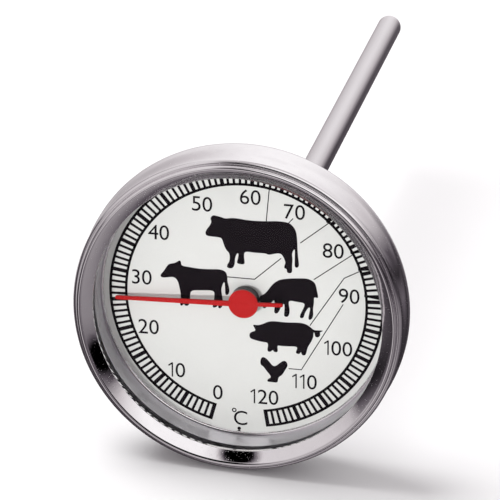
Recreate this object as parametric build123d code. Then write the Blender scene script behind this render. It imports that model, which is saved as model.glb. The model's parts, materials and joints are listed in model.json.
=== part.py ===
from build123d import *
from math import cos, radians, sin, tan
import os

# Dial thermometer with a round steel case on the end of a straight probe stem.
# The origin is where the bare stem leaves the ferrule on the back of the case.
# +Y runs along the stem to its tip, the dial faces -Y, and +Z is the dial's
# twelve o'clock.  All sizes are in millimetres.

# ---------------------------------------------------------------- driving sizes
# Probe stem
STEM_R = 2.25             # outside of the tube
STEM_WALL = 0.4
STEM_LENGTH = 132.0       # ferrule to the end of the tip
NECK_STEP = 0.2           # tube is turned down by this where it passes the case
NECK_LIP_WIDTH = 0.65     # rim rolled over inside the case
NECK_LIP_T = 0.4
TIP_LENGTH = 3.0          # solid nose beyond the tube
TIP_TAPER = 1.7           # tapered part of the nose
TIP_END_STEP = 0.7        # blunt end is this much smaller in radius than the tube
TIP_SPIGOT = 4.0          # part of the nose inside the tube

# Case cup, drawn from sheet
CASE_R = 27.75
CASE_SHEET = 0.6
CASE_CORNER_R = 5.2       # outside radius between wall and back
CASE_SWELL = 0.55         # wall grows by this much behind its neck
CASE_SWELL_LENGTH = 3.9   # length of wall that grows
CASE_NECK_LENGTH = 1.5    # rim to the start of the swelling
RECESS_R = 8.0            # shallow dish in the back, around the ferrule
RECESS_DEPTH = 0.5
BEAD_R = 0.6              # rolled bead on the rim

# Ferrule and inside washer that hold the stem to the case
FERRULE_HEIGHT = 3.0      # proud of the case back
FERRULE_END_WIDTH = 1.15  # ferrule's small end around the tube
FERRULE_BASE_WIDTH = 2.75 # ferrule's base around the tube
FERRULE_RIM = 0.8         # straight edge at the base of the ferrule
WASHER_WIDTH = 3.95       # washer around the neck
WASHER_T = 0.8

# Dial stack
DIAL_CLEARANCE = 0.35     # radial, dial in the mouth of the case
DIAL_T = 0.5
DIAL_STANDOFF = 2.4       # inside of the case back to the back of the dial
SEAT_CLEARANCE = 0.3      # seat ring inside the flat of the case back
SEAT_SHELF = 1.6          # width under the dial
SEAT_FOOT = 2.0           # width on the case back
SEAT_SHEET = 0.5
CLAMP_HEIGHT = 0.8        # ring that holds the dial down
CLAMP_REACH = 0.2         # inner edge inside the bezel's inner edge
CLAMP_SLOPE = 0.5         # bevel on the ring's inner edge
SPACER_HEIGHT = 4.15      # ring between the clamp ring and the glass
SKIRT_CLEARANCE = 0.15    # radial, glass and spacer ring in the bezel's skirt
SPACER_SET_BACK = 0.3     # inner edge outside the bezel's inner edge
LENS_T = 1.6
LENS_EDGE = 0.25          # ground edge of the glass
GASKET_T = 0.4
GASKET_SET_BACK = 0.3     # inner edge outside the bezel's inner edge

# Bezel ring, pressed into the mouth of the case
BEZEL_WIDTH = 2.55        # inner edge to outer edge
BEZEL_CREST_WIDTH = 0.45  # crest to outer edge
BEZEL_SET_BACK = 0.45     # outer edge inside the neck of the case
BEZEL_LIP_T = 0.7
BEZEL_SLOPE = 35.0        # degrees, flank from the inner edge up to the crest
BEZEL_ROUND_R = 0.9       # rounding between the flank and the crest
BEZEL_EDGE_DROP = 0.35    # outer edge behind the crest
BEZEL_SHEET = 0.5
SKIRT_LENGTH = 4.4        # part inside the case mouth

# Pointer, hub and spindle
POINTER_R = 21.9          # spindle to the end of the long arm
POINTER_TAIL = 6.7
ARM_DROOP = 0.9           # the long arm's end is this much nearer the dial
POINTER_WIDTH = 0.9       # long arm at the disc
POINTER_END_WIDTH = 0.65
POINTER_DISC_R = 2.5
POINTER_T = 0.4
POINTER_LIFT = 2.0        # dial face to the back of the pointer's disc
HUB_R = 2.4
HUB_WAIST_R = 1.1
HUB_CLEARANCE = 0.15      # hub's wide end above the dial
DIAL_HOLE_CLEARANCE = 0.45  # radial, dial around the hub's waist
SPINDLE_R = 0.5
RUNNING_CLEARANCE = 0.05  # radial, spindle in its guides
THRUST_CLEARANCE = 0.12   # axial, hub above its washer and collar below its guide

# Guides in the stem
GUIDE_LENGTH = 5.0
THRUST_WASHER_R = 1.45
THRUST_WASHER_T = 0.25

# Temperature sensing coil near the tip
COIL_CLEARANCE = 0.4      # radial, coil in the tube
COIL_STRIP_T = 0.2
COIL_STRIP_W = 1.5        # along the stem
COIL_PITCH = 2.4
COIL_TURNS = 14
COIL_GAP = 0.1            # radial, coil around its clip and its post
COLLAR_WIDTH = 0.7        # collar around the spindle
COLLAR_LENGTH = 1.5
COLLAR_GAP = 1.3          # collar to the coil's clip
CLIP_LENGTH = 5.0
ANCHOR_POST = 4.0
ANCHOR_BODY = 3.0

# Scale: 0 to 120 degrees C over an open ring, with the gap at six o'clock
SCALE_SWEEP = 335.4       # dial degrees from 0 to 120
SCALE_MAX = 120.0
REST_READING = 25.8       # degrees C, a warm room

# ---------------------------------------------------------------- worked-out places
BORE_R = STEM_R - STEM_WALL
NECK_R = STEM_R - NECK_STEP
CASE_NECK_R = CASE_R - CASE_SWELL
BEZEL_EDGE_R = CASE_NECK_R - BEZEL_SET_BACK
BEZEL_CREST_R = BEZEL_EDGE_R - BEZEL_CREST_WIDTH
BEZEL_LIP_R = BEZEL_EDGE_R - BEZEL_WIDTH
BEZEL_FLANK_R = BEZEL_CREST_R - BEZEL_ROUND_R * sin(radians(BEZEL_SLOPE))
BEZEL_ROUND_DROP = BEZEL_ROUND_R * (1 - cos(radians(BEZEL_SLOPE)))
BEZEL_FLANK_DROP = (BEZEL_FLANK_R - BEZEL_LIP_R) * tan(radians(BEZEL_SLOPE))
SKIRT_R = CASE_NECK_R - CASE_SHEET                # outside of skirt, inside of cup
SKIRT_INNER_R = SKIRT_R - BEZEL_SHEET
LENS_R = SKIRT_INNER_R - SKIRT_CLEARANCE
GASKET_OUTER_R = SKIRT_INNER_R - BEZEL_SHEET
DIAL_R = SKIRT_R - DIAL_CLEARANCE
CLAMP_INNER_R = BEZEL_LIP_R - CLAMP_REACH
SEAT_OUTER_R = CASE_R - CASE_CORNER_R - SEAT_CLEARANCE
SEAT_INNER_R = SEAT_OUTER_R - SEAT_SHELF
CASE_BACK_Y = -FERRULE_HEIGHT
FLOOR_Y = CASE_BACK_Y - CASE_SHEET                # inside of the case back
FERRULE_SEAT_Y = CASE_BACK_Y - RECESS_DEPTH
WASHER_SEAT_Y = FLOOR_Y - RECESS_DEPTH
DIAL_BACK_Y = FLOOR_Y - DIAL_STANDOFF
DIAL_FACE_Y = DIAL_BACK_Y - DIAL_T
CLAMP_FACE_Y = DIAL_FACE_Y - CLAMP_HEIGHT
SPACER_FACE_Y = CLAMP_FACE_Y - SPACER_HEIGHT
LENS_FACE_Y = SPACER_FACE_Y - LENS_T
LIP_BACK_Y = LENS_FACE_Y - GASKET_T
LIP_FACE_Y = LIP_BACK_Y - BEZEL_LIP_T
CREST_Y = LIP_FACE_Y - BEZEL_FLANK_DROP - BEZEL_ROUND_DROP
EDGE_Y = CREST_Y + BEZEL_EDGE_DROP
RIM_Y = EDGE_Y + BEZEL_SHEET                      # front edge of the case cup
SKIRT_END_Y = RIM_Y + SKIRT_LENGTH
CORNER_Y = CASE_BACK_Y - CASE_CORNER_R

WASHER_FACE_Y = WASHER_SEAT_Y - WASHER_T
NECK_END_Y = WASHER_FACE_Y - NECK_LIP_T
THRUST_FACE_Y = NECK_END_Y - THRUST_WASHER_T
HUB_END_Y = THRUST_FACE_Y - THRUST_CLEARANCE
POINTER_BACK_Y = DIAL_FACE_Y - POINTER_LIFT
GUIDE_BORE_R = SPINDLE_R + RUNNING_CLEARANCE

TUBE_END_Y = STEM_LENGTH - TIP_LENGTH
SPIGOT_Y = TUBE_END_Y - TIP_SPIGOT
ANCHOR_Y = SPIGOT_Y - ANCHOR_BODY                 # face that the coil ends on
COIL_R = BORE_R - COIL_CLEARANCE - COIL_STRIP_T / 2            # middle of the strip
COIL_HEIGHT = COIL_TURNS * COIL_PITCH
COIL_TOP_Y = ANCHOR_Y - COIL_STRIP_W / 2 - COIL_HEIGHT
CLIP_R = COIL_R - COIL_STRIP_T / 2 - COIL_GAP
CLIP_Y = COIL_TOP_Y - COIL_STRIP_W / 2
CLIP_END_Y = CLIP_Y + CLIP_LENGTH
COLLAR_Y = CLIP_Y - COLLAR_GAP - COLLAR_LENGTH
LOWER_GUIDE_Y = COLLAR_Y - THRUST_CLEARANCE - GUIDE_LENGTH
MIDDLE_GUIDE_Y = (NECK_END_Y + LOWER_GUIDE_Y) / 2

REST_ANGLE = SCALE_SWEEP * (REST_READING / SCALE_MAX - 0.5)   # clockwise from +Z

os.makedirs("parts", exist_ok=True)


# ---------------------------------------------------------------- helpers
def turned(*outline):
    """A solid of revolution about the stem from (radius, y) corners."""
    return revolve(make_face(Polyline(*outline, close=True)), axis=Axis.Y)


def ring(inner_r, outer_r, y_from, y_to):
    """A plain ring or, with no inner radius, a plain disc."""
    return turned((inner_r, y_from), (outer_r, y_from), (outer_r, y_to), (inner_r, y_to))


# ---------------------------------------------------------------- case
def cup_outline(inset):
    """Half section of the drawn cup, filled to the axis and shrunk by inset."""
    neck = CASE_NECK_R - inset
    wall = CASE_R - inset
    back = CASE_BACK_Y - inset
    corner = CASE_CORNER_R - inset
    neck_y = RIM_Y + CASE_NECK_LENGTH
    wall_y = neck_y + CASE_SWELL_LENGTH
    edges = [
        Line((0, RIM_Y), (neck, RIM_Y)),
        Line((neck, RIM_Y), (neck, neck_y)),
        TangentArc((wall, wall_y), (neck, neck_y), tangent=(0, -1)),
        Line((wall, wall_y), (wall, CORNER_Y)),
        TangentArc((wall, CORNER_Y), (wall - corner, back), tangent=(0, 1)),
        Line((wall - corner, back), (0, back)),
        Line((0, back), (0, RIM_Y)),
    ]
    return make_face(edges)


def case_cup():
    bead = Pos(CASE_NECK_R - CASE_SHEET / 2, RIM_Y + BEAD_R) * Circle(BEAD_R)
    mouth = Pos(SKIRT_R / 2, RIM_Y) * Rectangle(SKIRT_R, 4 * BEAD_R)
    section = cup_outline(0) - cup_outline(CASE_SHEET) + (bead - mouth)
    cup = revolve(section, axis=Axis.Y)
    cup += ring(0, RECESS_R + CASE_SHEET, WASHER_SEAT_Y, FLOOR_Y)
    cup -= ring(0, RECESS_R, FERRULE_SEAT_Y, CASE_BACK_Y)
    return cup - ring(0, NECK_R, WASHER_SEAT_Y, CASE_BACK_Y)


def bezel_ring():
    """Rolled lip, crest and outer edge in front, and a straight skirt behind."""
    shoulder = (SKIRT_INNER_R, CREST_Y + 2 * BEZEL_SHEET)
    front = [
        Line((BEZEL_LIP_R, LIP_BACK_Y), (BEZEL_LIP_R, LIP_FACE_Y)),
        Line((BEZEL_LIP_R, LIP_FACE_Y), (BEZEL_FLANK_R, LIP_FACE_Y - BEZEL_FLANK_DROP)),
        TangentArc(
            (BEZEL_CREST_R, CREST_Y),
            (BEZEL_FLANK_R, LIP_FACE_Y - BEZEL_FLANK_DROP),
            tangent=(-1, 0),
        ),
        TangentArc((BEZEL_CREST_R, CREST_Y), (BEZEL_EDGE_R, EDGE_Y), tangent=(1, 0)),
        Line((BEZEL_EDGE_R, EDGE_Y), (BEZEL_EDGE_R, RIM_Y)),
        Line((BEZEL_EDGE_R, RIM_Y), (SKIRT_R, RIM_Y)),
    ]
    skirt = [
        Line((SKIRT_R, RIM_Y), (SKIRT_R, SKIRT_END_Y)),
        Line((SKIRT_R, SKIRT_END_Y), (SKIRT_INNER_R, SKIRT_END_Y)),
        Line((SKIRT_INNER_R, SKIRT_END_Y), shoulder),
        Line(shoulder, (GASKET_OUTER_R, LIP_BACK_Y)),
        Line((GASKET_OUTER_R, LIP_BACK_Y), (BEZEL_LIP_R, LIP_BACK_Y)),
    ]
    return revolve(make_face(front + skirt), axis=Axis.Y)


def ferrule():
    """Cone-shaped collar brazed to the outside of the case back."""
    return turned(
        (NECK_R, FERRULE_SEAT_Y),
        (STEM_R + FERRULE_BASE_WIDTH, FERRULE_SEAT_Y),
        (STEM_R + FERRULE_BASE_WIDTH, CASE_BACK_Y + FERRULE_RIM),
        (STEM_R + FERRULE_END_WIDTH, 0),
        (NECK_R, 0),
    )


# ---------------------------------------------------------------- dial stack
def lens():
    """Flat glass with a ground edge on both faces."""
    inner = LENS_R - LENS_EDGE
    return turned(
        (0, SPACER_FACE_Y),
        (inner, SPACER_FACE_Y),
        (LENS_R, SPACER_FACE_Y - LENS_EDGE),
        (LENS_R, LENS_FACE_Y + LENS_EDGE),
        (inner, LENS_FACE_Y),
        (0, LENS_FACE_Y),
    )


def dial_clamp():
    """Ring on the dial's margin, bevelled on its inner edge."""
    return turned(
        (CLAMP_INNER_R, DIAL_FACE_Y),
        (DIAL_R, DIAL_FACE_Y),
        (DIAL_R, CLAMP_FACE_Y),
        (CLAMP_INNER_R + CLAMP_SLOPE, CLAMP_FACE_Y),
        (CLAMP_INNER_R, CLAMP_FACE_Y + CLAMP_SLOPE),
    )


def dial_seat():
    """Pressed ring, Z-shaped in section, that carries the dial off the case back."""
    foot_r = SEAT_INNER_R + SEAT_SHEET - SEAT_FOOT
    foot_face = FLOOR_Y - SEAT_SHEET
    top_back = DIAL_BACK_Y + SEAT_SHEET
    return turned(
        (foot_r, FLOOR_Y),
        (SEAT_INNER_R + SEAT_SHEET, FLOOR_Y),
        (SEAT_INNER_R + SEAT_SHEET, top_back),
        (SEAT_OUTER_R, top_back),
        (SEAT_OUTER_R, DIAL_BACK_Y),
        (SEAT_INNER_R, DIAL_BACK_Y),
        (SEAT_INNER_R, foot_face),
        (foot_r, foot_face),
    )


# ---------------------------------------------------------------- pointer
def pointer_outline():
    """Disc, long arm and short tail with round ends, seen square to the dial."""
    half = POINTER_END_WIDTH / 2
    tip = POINTER_R - half
    tail = POINTER_TAIL - half
    root = POINTER_WIDTH / 2
    outline = make_face(Polyline((-root, 0), (root, 0), (half, tip), (-half, tip), close=True))
    outline += Pos(0, tip) * Circle(half) + Circle(POINTER_DISC_R)
    outline += Pos(0, -tail / 2) * Rectangle(POINTER_END_WIDTH, tail) + Pos(0, -tail) * Circle(half)
    return outline


def pointer():
    """The outline cut through a strip that is flat at the disc and droops to the tip."""
    front = POINTER_BACK_Y - POINTER_T
    side = Polyline(
        (POINTER_BACK_Y, -POINTER_TAIL),
        (POINTER_BACK_Y, POINTER_DISC_R),
        (POINTER_BACK_Y + ARM_DROOP, POINTER_R),
        (front + ARM_DROOP, POINTER_R),
        (front, POINTER_DISC_R),
        (front, -POINTER_TAIL),
        close=True,
    )
    strip = extrude(Plane.YZ * make_face(side), amount=POINTER_DISC_R, both=True)
    facing_dial = Plane(origin=(0, DIAL_FACE_Y, 0), x_dir=(1, 0, 0), z_dir=(0, -1, 0))
    blank = extrude(facing_dial * pointer_outline(), amount=2 * POINTER_LIFT) & strip
    return Rot(0, REST_ANGLE, 0) * blank


def pointer_hub():
    """Bush pressed on the spindle, waisted where it passes the dial."""
    head_y = DIAL_FACE_Y - HUB_CLEARANCE
    return turned(
        (SPINDLE_R, POINTER_BACK_Y),
        (HUB_R, POINTER_BACK_Y),
        (HUB_R, head_y),
        (HUB_WAIST_R, head_y),
        (HUB_WAIST_R, HUB_END_Y),
        (SPINDLE_R, HUB_END_Y),
    )


# ---------------------------------------------------------------- stem
def stem_tube():
    """Tube with a thinned neck through the case and a lip rolled over inside."""
    return turned(
        (BORE_R, NECK_END_Y),
        (NECK_R + NECK_LIP_WIDTH, NECK_END_Y),
        (NECK_R + NECK_LIP_WIDTH, WASHER_FACE_Y),
        (NECK_R, WASHER_FACE_Y),
        (NECK_R, 0),
        (STEM_R, 0),
        (STEM_R, TUBE_END_Y),
        (BORE_R, TUBE_END_Y),
    )


def stem_tip():
    """Solid nose: spigot in the tube, then a short taper to a blunt end."""
    taper_y = STEM_LENGTH - TIP_TAPER
    return turned(
        (0, SPIGOT_Y),
        (BORE_R, SPIGOT_Y),
        (BORE_R, TUBE_END_Y),
        (STEM_R, TUBE_END_Y),
        (STEM_R, taper_y),
        (STEM_R - TIP_END_STEP, STEM_LENGTH),
        (0, STEM_LENGTH),
    )


def guide(y_from):
    """Bush that centres the spindle in the tube."""
    return ring(GUIDE_BORE_R, BORE_R, y_from, y_from + GUIDE_LENGTH)


def coil_anchor():
    """Plug that holds the fixed end of the coil, with a post inside its last turns."""
    return turned(
        (0, ANCHOR_Y - ANCHOR_POST),
        (CLIP_R, ANCHOR_Y - ANCHOR_POST),
        (CLIP_R, ANCHOR_Y),
        (BORE_R, ANCHOR_Y),
        (BORE_R, SPIGOT_Y),
        (0, SPIGOT_Y),
    )


def bimetal_coil():
    """Strip wound on edge along the stem, as a rectangular section on a helix."""
    path = Helix(COIL_PITCH, COIL_HEIGHT, COIL_R, center=(0, COIL_TOP_Y, 0), direction=(0, 1, 0))
    start = path @ 0
    outward = Vector(start.X, 0, start.Z)
    section = Plane(origin=start, x_dir=outward, z_dir=path % 0)
    return sweep(section * Rectangle(COIL_STRIP_T, COIL_STRIP_W), path=path, is_frenet=True)


# ---------------------------------------------------------------- all the pieces
pieces = {
    "case_cup": case_cup(),
    "bezel_ring": bezel_ring(),
    "lens_gasket": ring(BEZEL_LIP_R + GASKET_SET_BACK, GASKET_OUTER_R, LIP_BACK_Y, LENS_FACE_Y),
    "glass_lens": lens(),
    "spacer_ring": ring(BEZEL_LIP_R + SPACER_SET_BACK, LENS_R, SPACER_FACE_Y, CLAMP_FACE_Y),
    "dial_clamp_ring": dial_clamp(),
    "dial_plate": ring(HUB_WAIST_R + DIAL_HOLE_CLEARANCE, DIAL_R, DIAL_FACE_Y, DIAL_BACK_Y),
    "dial_seat_ring": dial_seat(),
    "stem_ferrule": ferrule(),
    "stem_lock_washer": ring(NECK_R, NECK_R + WASHER_WIDTH, WASHER_FACE_Y, WASHER_SEAT_Y),
    "stem_tube": stem_tube(),
    "stem_tip": stem_tip(),
    "upper_guide": guide(NECK_END_Y),
    "thrust_washer": ring(GUIDE_BORE_R, THRUST_WASHER_R, THRUST_FACE_Y, NECK_END_Y),
    "middle_guide": guide(MIDDLE_GUIDE_Y),
    "lower_guide": guide(LOWER_GUIDE_Y),
    "bimetal_coil": bimetal_coil(),
    "coil_anchor": coil_anchor(),
    "pointer": pointer(),
    "pointer_hub": pointer_hub(),
    "spindle": ring(0, SPINDLE_R, POINTER_BACK_Y, CLIP_END_Y),
    "spindle_collar": ring(SPINDLE_R, SPINDLE_R + COLLAR_WIDTH, COLLAR_Y, COLLAR_Y + COLLAR_LENGTH),
    "coil_clip": ring(SPINDLE_R, CLIP_R, CLIP_Y, CLIP_END_Y),
}

for name, shape in pieces.items():
    shape.label = name
    export_step(shape, f"parts/{name}.step")
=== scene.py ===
# %% [markdown]
# # A dial probe thermometer
# The imported CAD model is the frame: it says where every piece is. This lesson adds what a
# camera sees: polished, satin and painted surfaces, and the ink on the dial. The frame is
# loaded first, and its box is kept for placing the floor and the lamps.

# %% Load the frame
import json
import math

import bpy
from mathutils import Matrix, Vector


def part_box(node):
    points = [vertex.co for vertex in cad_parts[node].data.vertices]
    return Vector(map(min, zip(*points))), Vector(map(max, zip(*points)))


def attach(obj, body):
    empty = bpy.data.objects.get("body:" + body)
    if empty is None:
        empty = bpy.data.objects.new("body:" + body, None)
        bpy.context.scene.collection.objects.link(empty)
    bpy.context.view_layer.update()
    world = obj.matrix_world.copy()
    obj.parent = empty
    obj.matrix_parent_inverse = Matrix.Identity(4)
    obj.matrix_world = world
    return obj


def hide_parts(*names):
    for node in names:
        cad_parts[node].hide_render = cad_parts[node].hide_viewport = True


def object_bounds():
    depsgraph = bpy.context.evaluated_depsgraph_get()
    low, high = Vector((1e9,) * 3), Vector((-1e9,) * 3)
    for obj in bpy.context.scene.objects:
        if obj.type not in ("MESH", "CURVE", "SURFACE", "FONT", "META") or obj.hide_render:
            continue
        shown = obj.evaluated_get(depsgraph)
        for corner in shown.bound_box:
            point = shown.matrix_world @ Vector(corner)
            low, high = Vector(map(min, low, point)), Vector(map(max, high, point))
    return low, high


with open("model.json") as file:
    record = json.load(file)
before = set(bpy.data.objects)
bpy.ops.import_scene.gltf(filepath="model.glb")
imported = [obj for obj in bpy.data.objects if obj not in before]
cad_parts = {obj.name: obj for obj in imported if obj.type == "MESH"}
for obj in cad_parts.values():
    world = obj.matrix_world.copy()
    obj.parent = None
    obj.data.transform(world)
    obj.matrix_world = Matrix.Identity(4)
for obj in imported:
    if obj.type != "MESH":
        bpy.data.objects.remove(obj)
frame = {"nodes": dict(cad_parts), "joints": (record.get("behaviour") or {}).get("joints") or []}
cad_low, cad_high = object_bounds()
MM = 0.001
print("CAD nodes", len(frame["nodes"]), "box in mm", [round(v / MM, 1) for v in cad_high - cad_low])

# %% [markdown]
# Every place below comes from the boxes of the CAD nodes. The stem runs along +Y, the dial
# faces -Y and its twelve o'clock is +Z, so a ring is a radius and two places along Y.

# %% Places along the stem and radii, in millimetres
def front(node):
    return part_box(node)[0].y / MM


def back(node):
    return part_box(node)[1].y / MM


def radius(node):
    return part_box(node)[1].x / MM


DIAL_FACE = front("dial_plate")
BEZEL_R = radius("bezel_ring")
CASE_R = radius("case_cup")
STEM_R = radius("stem_tip")
FLOOR_LEVEL = cad_low.z
print("dial face at", round(DIAL_FACE, 2), "bezel radius", round(BEZEL_R, 2))

# %% [markdown]
# The camera stands in front of the dial, a little to its right and above it, and uses a long
# lens, as for a catalogue picture, so that the circles stay nearly true ellipses.

# %% Camera
CAMERA_AZIMUTH = math.radians(11.662)
CAMERA_ELEVATION = math.radians(22.497)
CAMERA_DISTANCE = 727.5 * MM
AIM_RIGHT = -0.683 * MM
AIM_UP = -8.058 * MM
DIAL_TURN = math.radians(2.9)
FOCAL_LENGTH = 316.9
SENSOR_WIDTH = 36


def place_camera():
    across = math.cos(CAMERA_ELEVATION)
    look = Vector((-math.sin(CAMERA_AZIMUTH) * across,
                   math.cos(CAMERA_AZIMUTH) * across, -math.sin(CAMERA_ELEVATION)))
    right = Vector((math.cos(CAMERA_AZIMUTH), math.sin(CAMERA_AZIMUTH), 0))
    up = right.cross(look)
    spot = -look * CAMERA_DISTANCE - right * AIM_RIGHT - up * AIM_UP
    turn = Matrix.Rotation(-DIAL_TURN, 3, "Y")
    look, right, up, spot = turn @ look, turn @ right, turn @ up, turn @ spot
    bpy.ops.object.camera_add(location=spot + Vector((0, DIAL_FACE * MM, 0)))
    camera = bpy.context.object
    camera.rotation_euler = Matrix((right, up, -look)).transposed().to_euler()
    camera.data.lens = FOCAL_LENGTH
    camera.data.sensor_width = SENSOR_WIDTH
    camera.data.clip_start = 0.01
    bpy.context.scene.camera = camera
    return camera


camera = place_camera()
print("camera at", [round(v, 3) for v in camera.location])

# %% [markdown]
# Finishes are node trees. Writing them as sums keeps them readable: a Value wraps a socket,
# and adding or multiplying two of them adds the Math node that does it. Every other node
# comes from one method, which takes its type, its settings and what its sockets get.

# %% Shader helpers
class Value:
    """An output socket that can be used in sums."""

    def __init__(self, tree, socket):
        self.tree = tree
        self.socket = socket

    def sum(self, operation, first, second):
        return self.tree.node("Math", {0: first, 1: second}, operation=operation)

    def __add__(self, other):
        return self.sum("ADD", self, other)

    def __radd__(self, other):
        return self.sum("ADD", other, self)

    def __sub__(self, other):
        return self.sum("SUBTRACT", self, other)

    def __rsub__(self, other):
        return self.sum("SUBTRACT", other, self)

    def __mul__(self, other):
        return self.sum("MULTIPLY", self, other)

    def __rmul__(self, other):
        return self.sum("MULTIPLY", other, self)


class Tree:
    """The nodes of one finish, or of the surroundings."""

    def __init__(self, owner):
        owner.use_nodes = True
        self.nodes = owner.node_tree.nodes
        self.links = owner.node_tree.links
        self.nodes.clear()

    def node(self, kind, inputs=None, output=0, stops=None, **settings):
        made = self.nodes.new("ShaderNode" + kind)
        for name, value in settings.items():
            setattr(made, name, value)
        if stops:
            marks = made.color_ramp.elements
            marks.remove(marks[1])
            marks[0].position, marks[0].color = stops[0]
            for place, colour in stops[1:]:
                marks.new(place).color = colour
        for name, value in (inputs or {}).items():
            if isinstance(value, Value):
                self.links.new(value.socket, made.inputs[name])
            else:
                made.inputs[name].default_value = value
        return Value(self, made.outputs[output])

    def blend(self, factor, first, second):
        """A colour between two colours."""
        inputs = {"Factor": factor, "A": first, "B": second}
        return self.node("Mix", inputs, output=2, data_type="RGBA")

    def spread(self, value, low, high, to_low=0.0, to_high=1.0):
        """A value from low to high, eased to a value from to_low to to_high."""
        inputs = {"Value": value, "From Min": low, "From Max": high,
                  "To Min": to_low, "To Max": to_high}
        return self.node("MapRange", inputs, interpolation_type="SMOOTHSTEP")

    def grain(self, size, stretch=(1, 1, 1), detail=3.0):
        """Noise on the piece, of that size in millimetres, drawn out along some axes."""
        place = self.node("TexCoord", output="Object")
        inputs = {"Vector": place, "Scale": [1 / (size * MM * s) for s in stretch]}
        spot = self.node("Mapping", inputs)
        return self.node("TexNoise", {"Vector": spot, "Scale": 1.0, "Detail": detail})

    def bump(self, height, depth):
        """A surface that rises by depth millimetres where height is 1."""
        return self.node("Bump", {"Height": height, "Distance": depth * MM, "Strength": 1.0})

    def surface(self, **inputs):
        """The shader and the output; a name such as base_color is the socket Base Color."""
        named = {}
        for name, value in inputs.items():
            named[name.replace("_", " ").title().replace("Ior", "IOR")] = value
        shader = self.node("BsdfPrincipled", named)
        self.node_output(shader)
        return shader

    def node_output(self, shader, kind="OutputMaterial"):
        made = self.nodes.new("ShaderNode" + kind)
        self.links.new(shader.socket, made.inputs["Surface"])


def new_finish(name):
    material = bpy.data.materials.new(name)
    return material, Tree(material)


print("shader helpers are ready")

# %% [markdown]
# Polished steel shows its surroundings, so the studio is drawn with care: each wall is a
# ramp from straight down, through the horizon, to straight up, and one wall eases into the
# next. It has bright tents above, in front and behind, a grey room low down, and black flags
# at the right and at the far left. The front tent has a black frame and two black stands:
# they give the bezel its black streaks. A small bright card low in front lights the crest
# of the bezel. The camera itself sees a plain pale backdrop.

# %% Surroundings
BACKDROP = (1.0, 1.0, 1.0, 1)
STUDIO_TONES = [(0.0, (0.0, 0.0, 0.0, 1)), (0.1, (0.108, 0.093, 0.108, 1)),
                (0.6, (0.62, 0.585, 0.60, 1)), (1.0, (1.0, 0.985, 0.99, 1))]
WALL_BEHIND = [(-45, 0.04), (-25, 0.06), (-15, 0.3), (-5, 0.75), (5, 1.0), (45, 1.0), (75, 0.35)]
WALLS = {
    -180: WALL_BEHIND,
    -120: [(-40, 0.05), (-25, 0.3), (-15, 0.7), (-5, 0.27), (15, 0.28), (35, 0.4), (55, 0.8),
           (75, 0.45)],
    -80: [(-60, 0.01), (-40, 0.06), (-25, 0.05), (-12, 0.015), (4, 0.015), (9, 0.5), (20, 0.6),
          (35, 0.7)],
    -50: [(-80, 0.01), (-45, 0.045), (-22, 0.04), (-15, 0.09), (-5, 0.42), (15, 0.65), (60, 0.68),
          (75, 0.4)],
    -15: [(-75, 0.15), (-60, 0.35), (-45, 0.23), (-25, 0.06), (-15, 0.4), (5, 0.48), (30, 0.72),
          (65, 0.65)],
    8: [(-65, 0.27), (-40, 0.33), (-25, 0.1), (-13, 0.06), (-5, 0.2), (5, 0.6), (15, 0.9),
        (60, 1.0), (75, 0.4)],
    30: [(-65, 0.2), (-45, 0.3), (-20, 0.18), (-5, 0.08), (5, 0.25), (18, 0.65), (35, 1.0),
         (65, 0.9)],
    57: [(-75, 0.3), (-45, 0.3), (-15, 0.24), (-5, 0.15), (5, 0.02), (14, 0.05), (24, 0.7),
         (34, 1.0), (55, 0.9), (75, 0.6)],
    85: [(-65, 0.08), (-40, 0.08), (-25, 0.14), (-15, 0.19), (-5, 0.08), (5, 0.015), (14, 0.05),
         (26, 0.35), (42, 0.85), (75, 0.55)],
    130: [(-60, 0.02), (-25, 0.1), (-14, 0.17), (-5, 0.02), (5, 0.05), (16, 0.45), (35, 0.75),
          (75, 0.4)],
    155: [(-45, 0.03), (-15, 0.03), (-5, 0.05), (5, 0.35), (15, 0.7), (45, 1.0), (75, 0.4)],
    180: WALL_BEHIND,
}
CREST_VIEW = (-12, -22)
TENT_FRAME = (16, 60)
FRAME_EDGE = 4
FRAME_LEFT = (-24, -14)
FRAME_RIGHT = (45, 60)
FRAME_FOOT = (-4, 4)
STANDS = [(-22, 49), (58, 3)]
STAND_EDGE = (6, 12)
CARD = (0.6, 0.6, 0.6, 1)
CARD_EDGE = (5, 10)
BLACK = (0, 0, 0, 1)


def toward(azimuth, elevation):
    """The direction at an azimuth from the front and an elevation, in degrees."""
    turn, rise = math.radians(azimuth), math.radians(elevation)
    return Vector((math.sin(turn) * math.cos(rise), -math.cos(turn) * math.cos(rise),
                   math.sin(rise)))


def wall(tree, height, marks):
    """The brightness of a wall, from marks of elevation in degrees and brightness."""
    stops = [((place + 90) / 180, (light, light, light, 1)) for place, light in marks]
    return tree.node("ValToRGB", {"Fac": (height + 90) * (1 / 180)}, stops=stops)


def apart(tree, direction, middle):
    """Degrees between each direction and a middle one."""
    inputs = {0: direction, 1: toward(*middle)}
    cosine = tree.node("VectorMath", inputs, output=1, operation="DOT_PRODUCT")
    return math.degrees(1) * tree.node("Math", {0: cosine}, operation="ARCCOSINE")


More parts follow.
